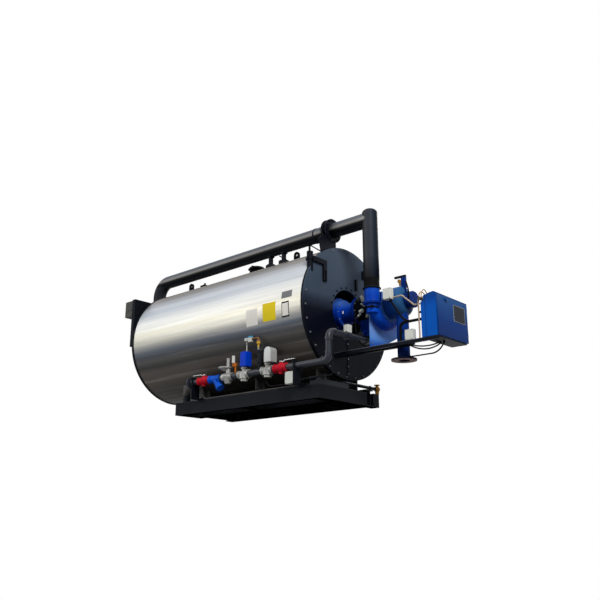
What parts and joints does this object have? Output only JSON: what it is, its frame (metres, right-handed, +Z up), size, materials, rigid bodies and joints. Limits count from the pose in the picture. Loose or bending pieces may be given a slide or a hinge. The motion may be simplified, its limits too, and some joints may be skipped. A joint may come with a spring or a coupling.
{
  "type": "industrial boiler",
  "caption": "Horizontal fire-tube steam boiler on a skid, with a burner, a recirculation pipe over the top, a gas train and a control cabinet.",
  "frame": {"origin": "underside of the skid's middle cross member, on the ground, below the vessel's middle", "axes": "+X along the vessel towards the burner, +Z up, -Y the side with the gas train"},
  "size_m": [7.675, 2.57, 3.506],
  "materials": {
    "black_paint": "satin",
    "jacket_steel": "satin",
    "blue_paint": "gloss",
    "grey_paint": "satin",
    "red_paint": "gloss",
    "cast_alloy": "satin",
    "black_rubber": "matt",
    "white_plastic": "matt",
    "screen": "gloss",
    "plated_steel": "satin"
  },
  "bodies": {
    "boiler": {"skid_beams": "black_paint", "skid_cross": "black_paint", "side_rail": "black_paint", "saddles": "black_paint", "jacket": "jacket_steel", "end_rings": "black_paint", "rear_head": "black_paint", "smokebox": "black_paint", "smokebox_covers": "grey_paint", "stack_outlet": "black_paint", "door_near": "black_paint", "door_far": "black_paint", "door_davits": "black_paint", "burner_tunnel": "black_paint", "burner_head": "blue_paint", "register_ring": "black_paint", "gas_throttle": "blue_paint", "fan_scroll": "blue_paint", "intake_housing": "blue_paint", "intake_riser": "blue_paint", "tower_bracket": "blue_paint", "pedestal": "blue_paint", "burner_shelf": "black_paint", "cabinet": "blue_paint", "junction_boxes": "white_plastic", "conduits": "plated_steel", "cables": "black_rubber", "fgr_line": "black_paint", "fgr_flanges": "black_paint", "fgr_drop": "black_paint", "fgr_coupling": "black_rubber", "fgr_support": "black_paint", "gas_pipes": "black_paint", "gas_brackets": "black_paint", "gas_cocks": "red_paint", "strainer": "blue_paint", "regulator": "cast_alloy", "pilot_line": "plated_steel", "valve_bodies": "cast_alloy", "actuator_rear": "blue_paint", "actuator_front": "cast_alloy", "gas_vent": "black_paint", "gas_switches": "white_plastic", "gas_riser": "black_paint", "drain_line": "black_paint", "covers": "black_paint", "nozzles": "black_paint", "lifting_lugs": "black_paint"},
    "cabinet_door": {"cabinet_door": "blue_paint", "cabinet_screen": "screen"},
    "lever_rear": {"lever_rear": "plated_steel"},
    "lever_front": {"lever_front": "plated_steel"}
  },
  "joints": [
    {"name": "cabinet_door_hinge", "type": "hinge", "parent": "boiler", "child": "cabinet_door", "pos_m": [4.682, 0.549, 1.22], "axis": [0, 0, 1], "range_deg": [0, 110]},
    {"name": "lever_rear_turn", "type": "hinge", "parent": "boiler", "child": "lever_rear", "pos_m": [-0.177, -1.155, 0.7], "axis": [0, 0, 1], "range_deg": [-90, 0]},
    {"name": "lever_front_turn", "type": "hinge", "parent": "boiler", "child": "lever_front", "pos_m": [1.889, -1.155, 0.7], "axis": [0, 0, 1], "range_deg": [-90, 0]}
  ]
}
